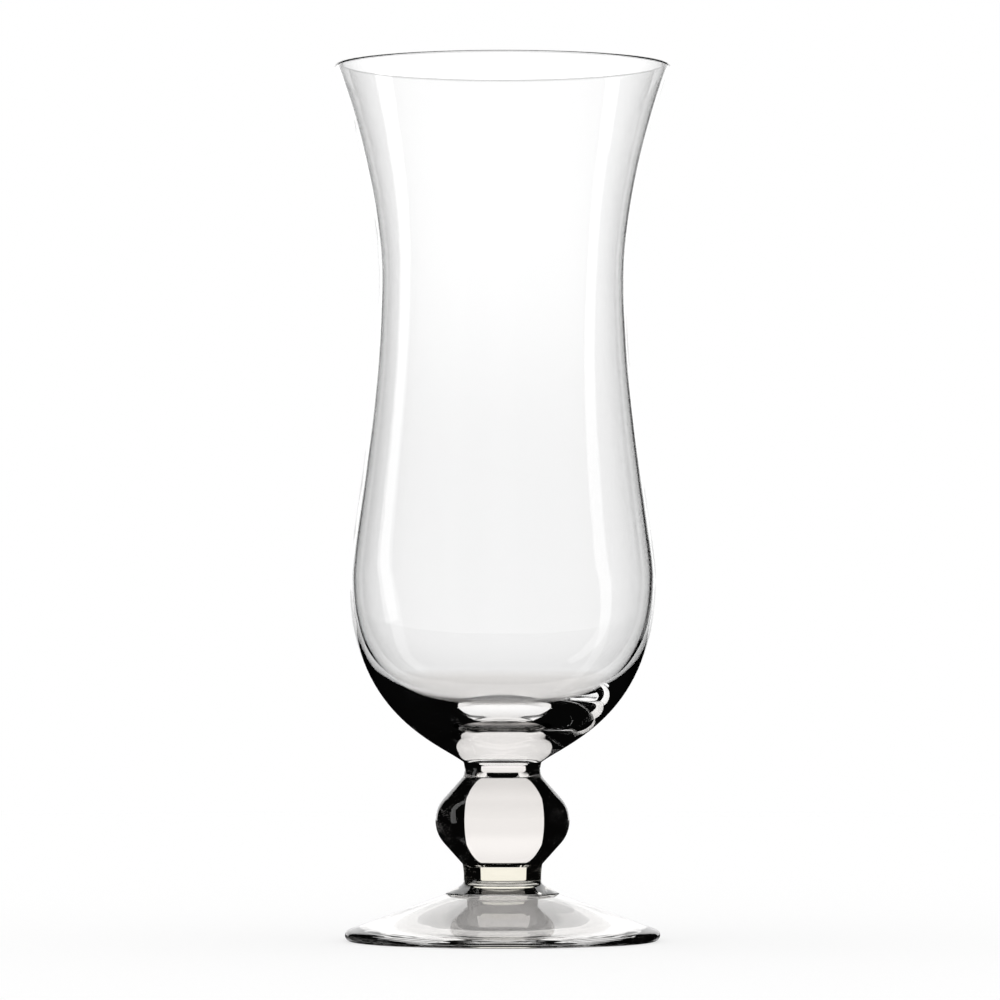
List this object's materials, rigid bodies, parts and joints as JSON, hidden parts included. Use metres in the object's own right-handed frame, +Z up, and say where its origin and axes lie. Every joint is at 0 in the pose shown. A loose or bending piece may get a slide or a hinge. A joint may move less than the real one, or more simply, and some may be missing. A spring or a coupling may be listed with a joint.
{
  "type": "hurricane glass",
  "caption": "Clear hurricane cocktail glass: a tall bowl with a bulb, a waist and a flared lip over a solid bottom, on a short stem with a rounded double-cone knop and a conical foot.",
  "frame": {"origin": "centre of the foot's standing ring, at the height of the table", "axes": "+Z up along the glass's axis, from the foot to the lip; the glass is the same all round, so +X and +Y are any two level directions"},
  "size_m": [0.079, 0.079, 0.206],
  "materials": {
    "clear_glass": "colourless soda-lime glass, fire polished to a smooth high gloss"
  },
  "bodies": {
    "root": {"bowl": "clear_glass", "upper_collar": "clear_glass", "knop": "clear_glass", "lower_collar": "clear_glass", "foot": "clear_glass"}
  },
  "joints": []
}
